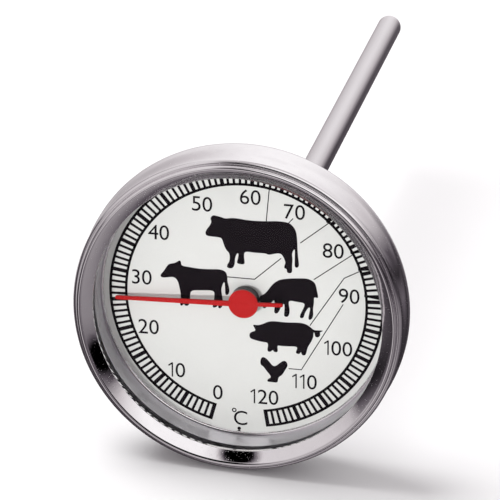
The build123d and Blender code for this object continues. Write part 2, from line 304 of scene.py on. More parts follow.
def surroundings():
    world = bpy.data.worlds.new("studio")
    bpy.context.scene.world = world
    tree = Tree(world)
    direction = tree.node("TexCoord", output="Generated")
    east, north, upward = [tree.node("SeparateXYZ", {0: direction}, output=i) for i in range(3)]
    azimuth = math.degrees(1) * tree.node("Math", {0: east, 1: -1 * north}, operation="ARCTAN2")
    height = math.degrees(1) * tree.node("Math", {0: upward}, operation="ARCSINE")
    places = sorted(WALLS)
    light = wall(tree, height, WALLS[places[0]])
    for start, end in zip(places, places[1:]):
        light = tree.blend(tree.spread(azimuth, start, end), light, wall(tree, height, WALLS[end]))
    away = apart(tree, direction, CREST_VIEW)
    inner, outer = TENT_FRAME
    dark = tree.spread(away, inner, inner + FRAME_EDGE)
    dark = dark * (1 - tree.spread(away, outer - FRAME_EDGE, outer))
    dark = dark * tree.spread(azimuth, *FRAME_LEFT) * (1 - tree.spread(azimuth, *FRAME_RIGHT))
    dark = dark * tree.spread(height, *FRAME_FOOT)
    for stand in STANDS:
        black = 1 - tree.spread(apart(tree, direction, stand), *STAND_EDGE)
        dark = tree.node("Math", {0: dark, 1: black}, operation="MAXIMUM")
    light = tree.blend(dark, light, BLACK)
    light = tree.blend(tree.spread(away, *CARD_EDGE), CARD, light)
    seen = tree.node("ValToRGB", {"Fac": light}, stops=STUDIO_TONES)
    camera_ray = tree.node("LightPath", output="Is Camera Ray")
    colour = tree.blend(camera_ray, seen, BACKDROP)
    shader = tree.node("Background", {"Color": colour, "Strength": 1.0})
    tree.node_output(shader, "OutputWorld")
    return len(places) - 1


print("walls in the studio", surroundings())

# %% [markdown]
# The floor is a plain pale plane under the case. It isn't shown in the polished steel, where
# a catalogue picture has a dark room instead.

# %% Floor
FLOOR_SIZE = 12.0
FLOOR_GAP = 0.02


def make_floor():
    bpy.ops.mesh.primitive_plane_add(size=FLOOR_SIZE, location=(0, 0, FLOOR_LEVEL - FLOOR_GAP * MM))
    floor = bpy.context.object
    floor.name = "floor"
    material, tree = new_finish("pale_paper")
    tone = tree.blend(tree.grain(60), (0.86, 0.86, 0.865, 1), (0.89, 0.89, 0.89, 1))
    tree.surface(base_color=tone, roughness=0.9)
    floor.data.materials.append(material)
    floor.visible_glossy = False
    return floor


print(make_floor().name, "at", round(FLOOR_LEVEL / MM, 2), "mm")

# %% [markdown]
# Two round lamps give the light: a small one in front of the dial, a little to its left, and
# a large one overhead that keeps the floor white and drops a soft shadow to the right of the
# object.

# %% Lamps
CENTRE = (cad_low + cad_high) / 2


def add_lamp(name, direction, distance, size, power):
    aim = Vector(direction).normalized()
    bpy.ops.object.light_add(type="AREA", location=CENTRE + aim * distance)
    lamp = bpy.context.object
    lamp.name = name
    lamp.data.shape = "DISK"
    lamp.data.size = size
    lamp.data.energy = power
    lamp.rotation_euler = aim.to_track_quat("Z", "Y").to_euler()
    lamp.visible_glossy = False
    lamp.visible_camera = False
    return lamp


add_lamp("front_lamp", (-0.2, -0.97, 0.0), 0.9, 0.13, 5.2)
add_lamp("ceiling_lamp", (-0.45, 0.05, 0.85), 1.3, 0.9, 14.0)
scene = bpy.context.scene
scene.view_settings.view_transform = "Standard"

# %% [markdown]
# The finishes. Each one has a slow change of tone, a fine grain and some wear, at the size
# that the real surface shows.

# %% Metals
def polished_steel():
    """Drawn and buffed stainless steel: slow waves, buffing haze and small pits."""
    material, tree = new_finish("buffed_steel")
    waves = tree.grain(4.0, detail=1.0)
    haze = tree.grain(1.6, detail=5.0)
    ripple = tree.grain(0.5, detail=2.0)
    pits = tree.spread(tree.grain(0.22, detail=1.0), 0.66, 0.76)
    tone = tree.blend(haze, (0.90, 0.875, 0.895, 1), (0.97, 0.955, 0.965, 1))
    rough = 0.02 + 0.04 * haze + 0.25 * pits
    relief = 1.2 * waves + 0.10 * ripple - 0.08 * pits
    tree.surface(base_color=tone, metallic=1.0, roughness=rough, normal=tree.bump(relief, 0.02))
    return material


def satin_steel():
    """The stem: drawn tube, rubbed along its length."""
    material, tree = new_finish("rubbed_steel")
    streaks = tree.grain(0.25, stretch=(1, 60, 1), detail=4.0)
    cloud = tree.grain(9.0, stretch=(1, 3, 1))
    tone = tree.blend(cloud, (0.66, 0.63, 0.65, 1), (0.78, 0.75, 0.77, 1))
    rough = 0.13 + 0.10 * streaks + 0.06 * cloud
    tree.surface(base_color=tone, metallic=1.0, roughness=rough, normal=tree.bump(streaks, 0.004))
    return material


def plated_ring(name, dark, light, rough_low):
    """Plated rings inside the case, with turning marks around them."""
    material, tree = new_finish(name)
    turning = tree.grain(0.3, stretch=(8, 0.5, 8), detail=2.0)
    cloud = tree.grain(6.0)
    rough = rough_low + 0.10 * turning
    tree.surface(base_color=tree.blend(cloud, dark, light), metallic=1.0, roughness=rough,
                 normal=tree.bump(turning, 0.003))
    return material


def plain_metal(name, dark, light, rough):
    """Inside pieces: one metal with a cloudy tone and a fine turned grain."""
    material, tree = new_finish(name)
    cloud = tree.grain(2.5)
    fine = tree.grain(0.12, detail=2.0)
    tone = tree.blend(cloud, dark, light)
    tree.surface(base_color=tone, metallic=1.0, roughness=rough + 0.15 * fine,
                 normal=tree.bump(fine, 0.003))
    return material


STEEL = polished_steel()
SATIN = satin_steel()
PLATED = plated_ring("satin_plating", (0.74, 0.72, 0.77, 1), (0.84, 0.82, 0.86, 1), 0.30)
CLAMP_STEEL = plated_ring("bright_plating", (0.92, 0.90, 0.93, 1), (0.98, 0.97, 0.98, 1), 0.05)
ZINC = plain_metal("zinc_plating", (0.50, 0.52, 0.54, 1), (0.64, 0.65, 0.66, 1), 0.32)
STRIP = plain_metal("strip_metal", (0.42, 0.38, 0.33, 1), (0.60, 0.56, 0.50, 1), 0.35)
BRASS = plain_metal("turned_brass", (0.62, 0.44, 0.18, 1), (0.78, 0.60, 0.30, 1), 0.28)
WIRE = plain_metal("drawn_wire", (0.50, 0.50, 0.50, 1), (0.66, 0.66, 0.66, 1), 0.25)
print("metals are mixed")

# %% [markdown]
# Glass this flat and thin bends the view by a quarter of a millimetre only, so it is made as
# a mirror that is almost fully transparent, and a little less so towards a grazing view.

# %% Glass, paint, ink and plastics
def clear_glass():
    material, tree = new_finish("flat_glass")
    smear = tree.grain(9.0, detail=4.0)
    shine = tree.node("Fresnel", {"IOR": 1.15})
    film = tree.blend(smear, (0.95, 0.97, 0.97, 1), (1, 1, 1, 1))
    tree.surface(base_color=film, metallic=1.0, roughness=0.01 + 0.02 * smear,
                 alpha=0.8 * shine)
    return material


def coated(name, dark, light, rough, grain_size, relief, gloss=0.5):
    """Paint, ink, rubber or plastic: two close tones, a fine grain and a weak or strong gloss."""
    material, tree = new_finish(name)
    cloud = tree.grain(grain_size * 12)
    fine = tree.grain(grain_size, detail=3.0)
    tone = tree.blend(cloud * 0.6 + fine * 0.4, dark, light)
    tree.surface(base_color=tone, roughness=rough + 0.12 * fine, specular_ior_level=gloss,
                 normal=tree.bump(fine, relief))
    return material


GLASS = clear_glass()
DIAL_PAINT = coated("dial_paint", (0.70, 0.71, 0.685, 1), (0.76, 0.77, 0.745, 1), 0.42, 0.5, 0.002)
INK = coated("dial_ink", (0.004, 0.002, 0.004, 1), (0.008, 0.005, 0.008, 1), 0.5, 0.3, 0.001, 0.12)
RED = coated("pointer_paint", (0.42, 0.004, 0.005, 1), (0.52, 0.008, 0.008, 1), 0.3, 0.25, 0.002,
             0.3)
BUSH = coated("bush_lacquer", (0.008, 0.008, 0.01, 1), (0.02, 0.02, 0.024, 1), 0.3, 0.3, 0.003, 0.3)
RUBBER = coated("seal_rubber", (0.16, 0.155, 0.165, 1), (0.22, 0.215, 0.225, 1), 0.6, 0.3, 0.01)
PLASTIC = coated("guide_nylon", (0.74, 0.73, 0.68, 1), (0.84, 0.83, 0.79, 1), 0.4, 0.4, 0.003)
print("glass, paint and ink are mixed")

# %% [markdown]
# Round pieces are drawn as half a section and spun about the stem. The section starts as a
# plane that is merged to one point, and that point is extruded from corner to corner.

# %% Drawing a section and spinning it
SPIN_STEPS = 288
SMOOTH_ANGLE = math.radians(28)
WELD = 0.001 * MM


def deselect_all():
    bpy.ops.object.select_all(action="DESELECT")


def draw_outline(name, corners, closed=True):
    """A chain of edges through (radius, y) corners in millimetres, left in edit mode."""
    deselect_all()
    bpy.ops.mesh.primitive_plane_add(size=MM)
    piece = bpy.context.object
    piece.name = name
    bpy.ops.object.mode_set(mode="EDIT")
    bpy.ops.mesh.merge(type="CENTER")
    places = [Vector((x * MM, y * MM, 0)) for x, y in corners]
    bpy.ops.transform.translate(value=places[0])
    for start, end in zip(places, places[1:]):
        bpy.ops.mesh.extrude_vertices_move(TRANSFORM_OT_translate={"value": end - start})
    bpy.ops.mesh.select_all(action="SELECT")
    if closed:
        bpy.ops.mesh.edge_face_add()
        bpy.ops.mesh.delete(type="ONLY_FACE")
        bpy.ops.mesh.select_all(action="SELECT")
    return piece


def finish_shape(piece, material, body="case", smooth=True):
    """Welds the seams, turns the faces outwards, smooths, paints and lets it ride."""
    bpy.ops.object.mode_set(mode="EDIT")
    bpy.ops.mesh.select_all(action="SELECT")
    bpy.ops.mesh.remove_doubles(threshold=WELD)
    bpy.ops.mesh.normals_make_consistent(inside=False)
    bpy.ops.object.mode_set(mode="OBJECT")
    if smooth:
        bpy.ops.object.shade_smooth_by_angle(angle=SMOOTH_ANGLE)
    piece.data.materials.clear()
    piece.data.materials.append(material)
    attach(piece, body)
    print(piece.name, len(piece.data.polygons), "faces")
    return piece


def spun(name, corners, material, body="case", closed=True, steps=SPIN_STEPS):
    piece = draw_outline(name, corners, closed)
    bpy.ops.mesh.spin(steps=steps, angle=2 * math.pi, center=(0, 0, 0), axis=(0, 1, 0))
    return finish_shape(piece, material, body)


def arc(centre, size, start, end, steps):
    """Points on an arc in the section, from one angle to another, in degrees."""
    angles = [math.radians(start + (end - start) * i / steps) for i in range(steps + 1)]
    return [(centre[0] + size * math.cos(a), centre[1] + size * math.sin(a)) for a in angles]


def stands_for(node):
    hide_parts(node)


print("a full ring is spun in", SPIN_STEPS, "steps")

# %% [markdown]
# The bezel is a ring pressed from sheet. From its inner lip a straight flank climbs to a round
# crest, the crest drops over its outer edge, and a skirt goes down inside the case. The flank
# is a cone, so each stretch of it shows one even tone, and only the crest shows fine lines.

# %% Bezel
BEZEL_WIDTH = 2.55
CREST_WIDTH = 0.45
EDGE_DROP = 0.35
FLANK_SLOPE = 35
ROUND_R = 0.9
BEZEL_SHEET = 0.5
LIP_HEIGHT = 0.7
LIP_ROLL_R = 0.15
LIP_ROLL_DEPTH = 0.18
LIP_TAPER = 0.05
SKIRT_STEP = 0.15
CREST = front("bezel_ring")
LIP_BACK = front("lens_gasket")
LIP_R = BEZEL_R - BEZEL_WIDTH
CREST_R = BEZEL_R - CREST_WIDTH
SKIRT_R = BEZEL_R - SKIRT_STEP


def outer_edge():
    """From the crest to the outer edge, an arc that leaves the crest level."""
    size = (CREST_WIDTH ** 2 + EDGE_DROP ** 2) / (2 * EDGE_DROP)
    turn = math.degrees(math.asin(CREST_WIDTH / size))
    return arc((CREST_R, CREST + size), size, -90, -90 + turn, 10)


def bezel_section():
    lip = LIP_BACK - LIP_HEIGHT
    crest = arc((CREST_R, CREST + ROUND_R), ROUND_R, -90 - FLANK_SLOPE, -90, 14)
    rim = CREST + EDGE_DROP + BEZEL_SHEET
    skirt_inner = SKIRT_R - BEZEL_SHEET
    inside = [(BEZEL_R, rim), (SKIRT_R, rim), (SKIRT_R, back("bezel_ring")),
              (skirt_inner, back("bezel_ring")), (skirt_inner, CREST + 2 * BEZEL_SHEET),
              (skirt_inner - BEZEL_SHEET, LIP_BACK)]
    middle = (LIP_R + LIP_ROLL_R, lip + LIP_ROLL_DEPTH)
    lip_roll = arc(middle, LIP_ROLL_R, 180, 270 - FLANK_SLOPE, 4)
    return crest + outer_edge()[1:] + inside + [(LIP_R + LIP_TAPER, LIP_BACK)] + lip_roll


bezel = spun("bezel", bezel_section(), STEEL)
stands_for("bezel_ring")

# %% [markdown]
# The case is a drawn cup. Its mouth is rolled into a bead, the wall swells a little behind
# the neck and turns into the back with a large radius, and the back is dished around the
# ferrule.

# %% Case
CASE_SHEET = 0.6
CORNER_R = 5.2
NECK_R = CASE_R - 0.55
BEAD_R = 0.6
NECK_LENGTH = 1.5
SWELL_LENGTH = 3.9
DISH_R = 8.0
DISH_DEPTH = 0.5
HOLE_R = STEM_R - 0.2
RIM = front("case_cup")
CASE_BACK = back("case_cup")


def wall_line(inset):
    """The wall from its neck to the back, moved inwards by inset."""
    swell = []
    for i in range(13):
        along = i / 12
        eased = along * along * (3 - 2 * along)
        y = RIM + NECK_LENGTH + SWELL_LENGTH * along
        swell.append((NECK_R - inset + (CASE_R - NECK_R) * eased, y))
    centre = (CASE_R - CORNER_R, CASE_BACK - CORNER_R)
    return swell + arc(centre, CORNER_R - inset, 0, 90, 16)


def case_section():
    bead = arc((NECK_R - CASE_SHEET / 2, RIM + BEAD_R), BEAD_R, -120, 60, 16)
    dish = CASE_BACK - DISH_DEPTH
    outside = [(DISH_R + 0.3, CASE_BACK), (DISH_R, dish + 0.2), (DISH_R - 0.3, dish),
               (HOLE_R, dish)]
    inside = [(HOLE_R, dish - CASE_SHEET), (DISH_R + CASE_SHEET, dish - CASE_SHEET),
              (DISH_R + CASE_SHEET, CASE_BACK - CASE_SHEET)]
    return bead + wall_line(0) + outside + inside + wall_line(CASE_SHEET)[::-1]


case = spun("case", case_section(), STEEL)
stands_for("case_cup")

# %% [markdown]
# Inside the glass two plated rings make the wall that is seen around the dial. The low one
# holds the edge of the dial plate, and its polished bevel shows as a thin bright line.

# %% Rings around the dial
CLAMP_BEVEL = 0.5
CLAMP_FACE = front("dial_clamp_ring")
CLAMP_REACH = 0.2
SPACER_SET_BACK = 0.3
CLAMP_R = LIP_R - CLAMP_REACH
SPACER_R = LIP_R + SPACER_SET_BACK
GLASS_BACK = back("glass_lens")
GLASS_FACE = front("glass_lens")

clamp = spun("dial_clamp", [
    (CLAMP_R, DIAL_FACE), (radius("dial_clamp_ring"), DIAL_FACE),
    (radius("dial_clamp_ring"), CLAMP_FACE)]
    + arc((CLAMP_R + CLAMP_BEVEL, CLAMP_FACE + CLAMP_BEVEL), CLAMP_BEVEL, 270, 180, 8), CLAMP_STEEL)
stands_for("dial_clamp_ring")

spacer = spun("spacer", [
    (SPACER_R, CLAMP_FACE), (radius("spacer_ring"), CLAMP_FACE),
    (radius("spacer_ring"), GLASS_BACK), (SPACER_R, GLASS_BACK)], PLATED)
stands_for("spacer_ring")

# %% [markdown]
# The glass is a flat disc with a small ground bevel, and the dial is a painted plate with a
# hole for the hub. Both reach to the axis or close to it, so their sections stay open there.

# %% Glass and dial plate
GLASS_R = radius("glass_lens")
GROUND_EDGE = 0.25
DIAL_R = radius("dial_plate")
DIAL_HOLE_R = 1.55
EDGE_ROUND = 0.08

glass = spun("glass", [
    (0, GLASS_BACK), (GLASS_R - GROUND_EDGE, GLASS_BACK), (GLASS_R, GLASS_BACK - GROUND_EDGE),
    (GLASS_R, GLASS_FACE + GROUND_EDGE), (GLASS_R - GROUND_EDGE, GLASS_FACE), (0, GLASS_FACE)],
    GLASS, closed=False)
stands_for("glass_lens")

dial = spun("dial", [
    (DIAL_HOLE_R, DIAL_FACE + EDGE_ROUND), (DIAL_HOLE_R + EDGE_ROUND, DIAL_FACE),
    (DIAL_R, DIAL_FACE), (DIAL_R, back("dial_plate")), (DIAL_HOLE_R, back("dial_plate"))],
    DIAL_PAINT)
stands_for("dial_plate")

# %% [markdown]
# The stem is a satin tube with a short solid nose. A hair-thin chamfer on every edge catches
# the light as a real turned edge does. The ferrule ties the stem to the back of the case.

# %% Stem, tip and ferrule
CHAMFER = 0.06
BORE_R = STEM_R - 0.4
NECK_LIP_T = 0.4
TUBE_END = back("stem_tube")
TUBE_START = front("stem_tube")
TIP_END = back("stem_tip")
TIP_TAPER = 1.7
TIP_END_R = STEM_R - 0.7
TIP_ROUND_R = 0.35
ROUND_STEPS = 96

tube = spun("stem", [
    (BORE_R, TUBE_START), (radius("stem_tube"), TUBE_START),
    (radius("stem_tube"), TUBE_START + NECK_LIP_T), (HOLE_R, TUBE_START + NECK_LIP_T),
    (HOLE_R, 0), (STEM_R - CHAMFER, 0), (STEM_R, CHAMFER),
    (STEM_R, TUBE_END), (BORE_R, TUBE_END)], SATIN, steps=ROUND_STEPS)
stands_for("stem_tube")

nose = [(STEM_R, TIP_END - TIP_TAPER - 0.25), (STEM_R - 0.07, TIP_END - TIP_TAPER + 0.15)]
nose_end = arc((TIP_END_R - TIP_ROUND_R, TIP_END - TIP_ROUND_R), TIP_ROUND_R, 20, 90, 6)
tip = spun("stem_nose", [
    (0, front("stem_tip")), (BORE_R, front("stem_tip")), (BORE_R, TUBE_END),
    (STEM_R, TUBE_END)] + nose + nose_end + [(0, TIP_END)], SATIN, closed=False, steps=ROUND_STEPS)
stands_for("stem_tip")

FERRULE_R = radius("stem_ferrule")
FERRULE_SEAT = front("stem_ferrule")
ferrule = spun("ferrule", [
    (HOLE_R, FERRULE_SEAT), (FERRULE_R, FERRULE_SEAT), (FERRULE_R, CASE_BACK + 0.65),
    (FERRULE_R - 0.12, CASE_BACK + 0.85), (STEM_R + 1.27, -0.15), (STEM_R + 1.1, 0),
    (HOLE_R, 0)], STEEL, steps=ROUND_STEPS)
stands_for("stem_ferrule")

# %% [markdown]
# The hub is a black bush behind the pointer. It turns with the spindle, so it rides on the
# pointer's body.

# %% Hub
HUB_R = radius("pointer_hub")
HUB_BACK = front("pointer_hub")
HUB_HEAD = DIAL_FACE - 0.15
WAIST_R = 1.1
HUB_CHAMFER = 0.1
SPINDLE_R = radius("spindle")
hub = spun("hub", [
    (SPINDLE_R, HUB_BACK), (HUB_R - HUB_CHAMFER, HUB_BACK), (HUB_R, HUB_BACK + HUB_CHAMFER),
    (HUB_R, HUB_HEAD - HUB_CHAMFER), (HUB_R - HUB_CHAMFER, HUB_HEAD), (WAIST_R, HUB_HEAD),
    (WAIST_R, back("pointer_hub")), (SPINDLE_R, back("pointer_hub"))],
    BUSH, "pointer", steps=ROUND_STEPS)
stands_for("pointer_hub")

# %% [markdown]
# The pointer is stamped from thin sheet: a disc, a long arm that droops towards the dial and
# a short tail. It is drawn at twelve o'clock as one outline, cut across where the arm meets
# the disc, bent there, and turned to the reading that it rests on. The joint's range says
# how far that is from 0 degrees.

# %% Pointer
SWEEP = 335.4
TOP_READING = 120
REST_TURN = -SWEEP / 2 - frame["joints"][0]["range_deg"][0]
POINTER_FACE = front("pointer")
POINTER_T = 0.4
DISC_R = 2.5
ARM_LENGTH = 21.9
TAIL_LENGTH = 6.7
ARM_ROOT = 0.45
ARM_END = 0.325
DROOP = 0.9
STAMPED_EDGE = 0.05


def arm_end(length, way):
    """Half a circle at the end of an arm that points up (way 1) or down (way -1)."""
    place = (0, way * (length - ARM_END))
    return arc(place, ARM_END, 0, way * 180, 8)


def pointer_outline():
    side = math.degrees(math.asin(ARM_ROOT / DISC_R))
    low = math.degrees(math.asin(ARM_END / DISC_R))
    right = arc((0, 0), DISC_R, -90 + low, 90 - side, 36)
    left = [(-x, z) for x, z in right[::-1]]
    return right + arm_end(ARM_LENGTH, 1) + left + arm_end(TAIL_LENGTH, -1)[::-1]


def make_pointer():
    pointer = draw_outline("pointer_arm", pointer_outline())
    bpy.ops.mesh.edge_face_add()
    bpy.ops.mesh.bisect(plane_co=(0, DISC_R * MM, 0), plane_no=(0, 1, 0))
    bpy.ops.mesh.select_all(action="SELECT")
    bpy.ops.mesh.extrude_region_move(TRANSFORM_OT_translate={"value": (0, 0, POINTER_T * MM)})
    bpy.ops.object.mode_set(mode="OBJECT")
    droop = math.asin(DROOP / (ARM_LENGTH - DISC_R))
    turn_down = Matrix.Rotation(-droop, 4, "X")
    hinge = Matrix.Translation((0, DISC_R * MM, 0))
    bend = hinge @ turn_down @ hinge.inverted()
    for vertex in pointer.data.vertices:
        if vertex.co.y > (DISC_R + 0.01) * MM:
            vertex.co = bend @ vertex.co
    stand = Matrix.Rotation(math.radians(90), 4, "X")
    turn = Matrix.Rotation(math.radians(REST_TURN), 4, "Y")
    place = Matrix.Translation((0, (POINTER_FACE + POINTER_T) * MM, 0))
    pointer.data.transform(turn @ place @ stand)
    bevel = pointer.modifiers.new("stamped_edge", "BEVEL")
    bevel.width = STAMPED_EDGE * MM
    bevel.segments = 2
    bevel.limit_method = "ANGLE"
    bevel.angle_limit = math.radians(40)
    bpy.ops.object.modifier_apply(modifier=bevel.name)
    return finish_shape(pointer, RED, "pointer")


pointer = make_pointer()
stands_for("pointer")

# %% [markdown]
# The print is a thin layer of ink on the dial. The scale is a band of two black lines with a
# thin mark at each degree and a thick one at every fifth. One mark of each kind is made, and
# copied around the ring.

# %% Scale
INK_T = 0.02
RING_INNER = (20.08, 20.52)
RING_OUTER = (22.74, 23.2)
THIN_MARK = 0.43
THICK_MARK = 0.66
MARK_FIT = 0.98
THICK_EVERY = 5
PER_DEGREE = SWEEP / TOP_READING


def turned(piece, angle):
    piece.data.transform(Matrix.Rotation(math.radians(angle), 4, "Y"))


def ink_line(name, inner, outer):
    """Part of a ring, from the first mark to the last."""
    line = draw_outline(name, [(inner, DIAL_FACE), (outer, DIAL_FACE),
                               (outer, DIAL_FACE - INK_T), (inner, DIAL_FACE - INK_T)])
    end_turn = math.degrees(THICK_MARK / 2 / outer)
    bpy.ops.mesh.edge_face_add()
    bpy.ops.mesh.spin(steps=360, angle=math.radians(SWEEP + 2 * end_turn), center=(0, 0, 0),
                      axis=(0, 1, 0))
    bpy.ops.object.mode_set(mode="OBJECT")
    turned(line, SWEEP / 2 + end_turn - 90)
    return line


def ink_mark(name, width):
    """A mark at twelve o'clock."""
    deselect_all()
    middle = (RING_INNER[0] + RING_OUTER[1]) / 2
    bpy.ops.mesh.primitive_cube_add(size=1, location=(0, (DIAL_FACE - INK_T / 2) * MM, middle * MM))
    mark = bpy.context.object
    mark.name = name
    mark.scale = (width * MM, INK_T * MM, (RING_OUTER[1] - RING_INNER[0]) * MM * MARK_FIT)
    bpy.ops.object.transform_apply(location=True, rotation=True, scale=True)
    return mark


def join_ink(name, parts):
    deselect_all()
    for part in parts:
        part.select_set(True)
    bpy.context.view_layer.objects.active = parts[0]
    bpy.ops.object.join()
    joined = bpy.context.object
    joined.name = name
    joined.data.materials.clear()
    joined.data.materials.append(INK)
    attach(joined, "case")
    print(name, len(joined.data.polygons), "faces")
    return joined


def make_scale():
    parts = [ink_line("inner_line", *RING_INNER), ink_line("outer_line", *RING_OUTER)]
    thin = ink_mark("thin_mark", THIN_MARK)
    thick = ink_mark("thick_mark", THICK_MARK)
    for reading in range(TOP_READING + 1):
        source = thick if reading % THICK_EVERY == 0 else thin
        mark = source.copy()
        mark.data = source.data.copy()
        bpy.context.scene.collection.objects.link(mark)
        turned(mark, (reading - TOP_READING / 2) * PER_DEGREE)
        parts.append(mark)
    bpy.data.objects.remove(thin)
    bpy.data.objects.remove(thick)
    return join_ink("scale_print", parts)


make_scale()

# %% [markdown]
# The numerals are Blender's built-in thin letters, set digit by digit. Its one is a bare bar,
# so a one is drawn with two pen strokes, a bar and a flag. The whole text leans by a few
# degrees against the ring, because the two were printed one after the other.

# %% Numerals
TEXT_TURN = 2.9
TEXT_HEIGHT = 2.6
DIGIT_WIDTH = 1.86
ONE_WIDTH = 1.3
PEN_WIDTH = 0.24
LETTER_HALF_T = 0.005
DEGREE_PLACE = (-0.95, -20.45)
DEGREE_R = 0.3
DEGREE_PEN_R = 0.1
NUMERALS = {
    "0": (-3.9, -17.6), "10": (-11.1, -14.5), "20": (-16.2, -7.3), "30": (-17.8, 1.5),
    "40": (-15.2, 9.9), "50": (-8.2, 15.9), "60": (-0.2, 18.15), "70": (7.3, 16.5),
    "80": (14.1, 10.5), "90": (17.2, 2.8), "100": (15.9, -6.8), "110": (10.6, -13.6),
    "120": (4.0, -17.35), "C": (0.2, -21.75),
}


def on_dial(piece, centre, turn):
    """Stands a flat shape on the dial, its middle at a place on the dial."""
    stand = Matrix.Rotation(math.radians(90), 4, "X")
    lean = Matrix.Rotation(math.radians(-turn), 4, "Y")
    place = Matrix.Translation((centre[0] * MM, (DIAL_FACE - INK_T / 2) * MM, centre[1] * MM))
    piece.data.transform(place @ lean @ stand)


def ink_text(text, centre):
    deselect_all()
    bpy.ops.object.text_add()
    piece = bpy.context.object
    piece.data.body = text
    piece.data.extrude = LETTER_HALF_T
    bpy.ops.object.convert(target="MESH")
    xs = [v.co.x for v in piece.data.vertices]
    ys = [v.co.y for v in piece.data.vertices]
    size = TEXT_HEIGHT * MM / (max(ys) - min(ys))
    middle = Vector(((max(xs) + min(xs)) / 2, (max(ys) + min(ys)) / 2, 0))
    flat = Matrix.Diagonal((size, size, INK_T * MM / (2 * LETTER_HALF_T), 1))
    piece.data.transform(flat @ Matrix.Translation(-middle))
    on_dial(piece, centre, TEXT_TURN)
    return piece


def ink_stroke(start, end, width):
    """A thin bar from one point of the dial to another."""
    across = Vector((end[0] - start[0], end[1] - start[1]))
    deselect_all()
    bpy.ops.mesh.primitive_cube_add(size=1)
    bar = bpy.context.object
    bar.scale = ((across.length + width / 2) * MM, width * MM, INK_T * MM)
    bpy.ops.object.transform_apply(location=True, rotation=True, scale=True)
    middle = ((start[0] + end[0]) / 2, (start[1] + end[1]) / 2)
    on_dial(bar, middle, math.degrees(math.atan2(across.y, across.x)))
    return bar


def beside(centre, right, up):
    """A place to the right of and above another one, along the leaning lines of the text."""
    lean = math.radians(TEXT_TURN)
    return (centre[0] + right * math.cos(lean) - up * math.sin(lean),
            centre[1] + right * math.sin(lean) + up * math.cos(lean))


def ink_one(centre):
    top = TEXT_HEIGHT / 2 - PEN_WIDTH / 4
    bar = ink_stroke(beside(centre, 0.2, -top), beside(centre, 0.2, top), PEN_WIDTH)
    flag = ink_stroke(beside(centre, 0.12, top - 0.1), beside(centre, -0.4, top - 0.5), PEN_WIDTH)
    return [bar, flag]


def ink_number(text, centre):
    """Digits side by side around a centre."""
    widths = [ONE_WIDTH if digit == "1" else DIGIT_WIDTH for digit in text]
    right = -sum(widths) / 2
    made = []
    for digit, width in zip(text, widths):
        place = beside(centre, right + width / 2, 0)
        made += ink_one(place) if digit == "1" else [ink_text(digit, place)]
        right += width
    return made


def ink_degree_sign(centre):
    """A small ring of ink."""
    deselect_all()
    bpy.ops.mesh.primitive_torus_add(major_segments=32, minor_segments=4,
                                     major_radius=DEGREE_R * MM, minor_radius=DEGREE_PEN_R * MM)
    ring = bpy.context.object
    ring.data.transform(Matrix.Diagonal((1, 1, INK_T / (2 * DEGREE_PEN_R), 1)))
    on_dial(ring, centre, 0)
    return ring


digits = [ink_degree_sign(DEGREE_PLACE)]
for text, centre in NUMERALS.items():
    digits += ink_number(text, centre)
join_ink("numeral_print", digits)

# %% [markdown]
# Five farm animals stand on the dial. Each is a closed curve through the few points that its
# outline turns on, in millimetres from the middle of the dial.

# %% Animals
BULL = [
    (-7.4, 10.8), (-7.2, 11.5), (-6.7, 12.2), (-6.4, 13.0), (-6.7, 13.5), (-6.3, 14.2),
    (-5.5, 14.1), (-4.8, 14.0), (-4.1, 13.8), (-3.3, 14.05), (-2.4, 14.15), (0.0, 14.0),
    (2.8, 14.25), (4.6, 14.55), (6.4, 14.55), (7.2, 14.0), (7.8, 13.1), (8.05, 11.5),
    (8.2, 9.5), (8.45, 8.0), (8.6, 7.1), (8.3, 6.65), (7.85, 6.8), (7.8, 8.0),
    (7.75, 9.9), (7.55, 9.9), (7.25, 9.0), (7.45, 8.2), (7.4, 6.9), (7.55, 5.6),
    (6.6, 5.55), (6.6, 6.3), (6.1, 6.3), (6.15, 6.9), (6.35, 7.4), (5.6, 8.9),
    (4.6, 8.8), (3.4, 8.3), (2.9, 8.6), (1.0, 8.4), (-0.6, 8.5), (-0.75, 7.6),
    (-0.45, 6.3), (-0.8, 6.05), (-1.9, 6.1), (-1.7, 6.9), (-1.6, 7.95), (-1.9, 7.95),
    (-2.2, 7.0), (-2.15, 6.0), (-2.45, 5.1), (-3.5, 5.1), (-3.4, 5.8), (-3.05, 6.3),
    (-3.1, 7.8), (-3.7, 8.2), (-4.2, 9.2), (-4.5, 10.2), (-5.0, 10.4), (-7.1, 10.3),
]
CALF = [
    (-14.6, 2.4), (-14.1, 3.0), (-13.6, 4.0), (-13.2, 4.55), (-12.2, 4.75), (-11.45, 5.45),
    (-11.2, 5.1), (-11.15, 4.45), (-10.0, 4.4), (-8.0, 4.3), (-6.0, 4.5), (-4.7, 4.7),
    (-3.6, 4.45), (-3.3, 3.6), (-3.25, 2.6), (-2.8, 1.3), (-2.9, 0.4), (-3.45, 0.1),
    (-3.55, 1.0), (-3.7, 2.6), (-3.95, 2.3), (-4.25, 1.2), (-4.05, 0.2), (-3.8, -1.2),
    (-3.95, -2.2), (-4.55, -2.4), (-4.6, -1.7), (-4.85, -2.2), (-5.6, -2.4), (-5.4, -1.5),
    (-5.3, -0.2), (-5.4, 0.8), (-7.5, 0.5), (-9.3, 0.3), (-9.45, -0.8), (-9.35, -2.0),
    (-9.7, -2.65), (-10.2, -2.65), (-10.4, -2.3), (-10.7, -2.8), (-11.1, -2.6),
    (-10.95, -1.5), (-11.05, -0.3), (-11.3, 0.6), (-11.6, 1.7), (-12.3, 2.3),
    (-13.2, 2.1), (-14.0, 1.9), (-14.5, 1.95),
]
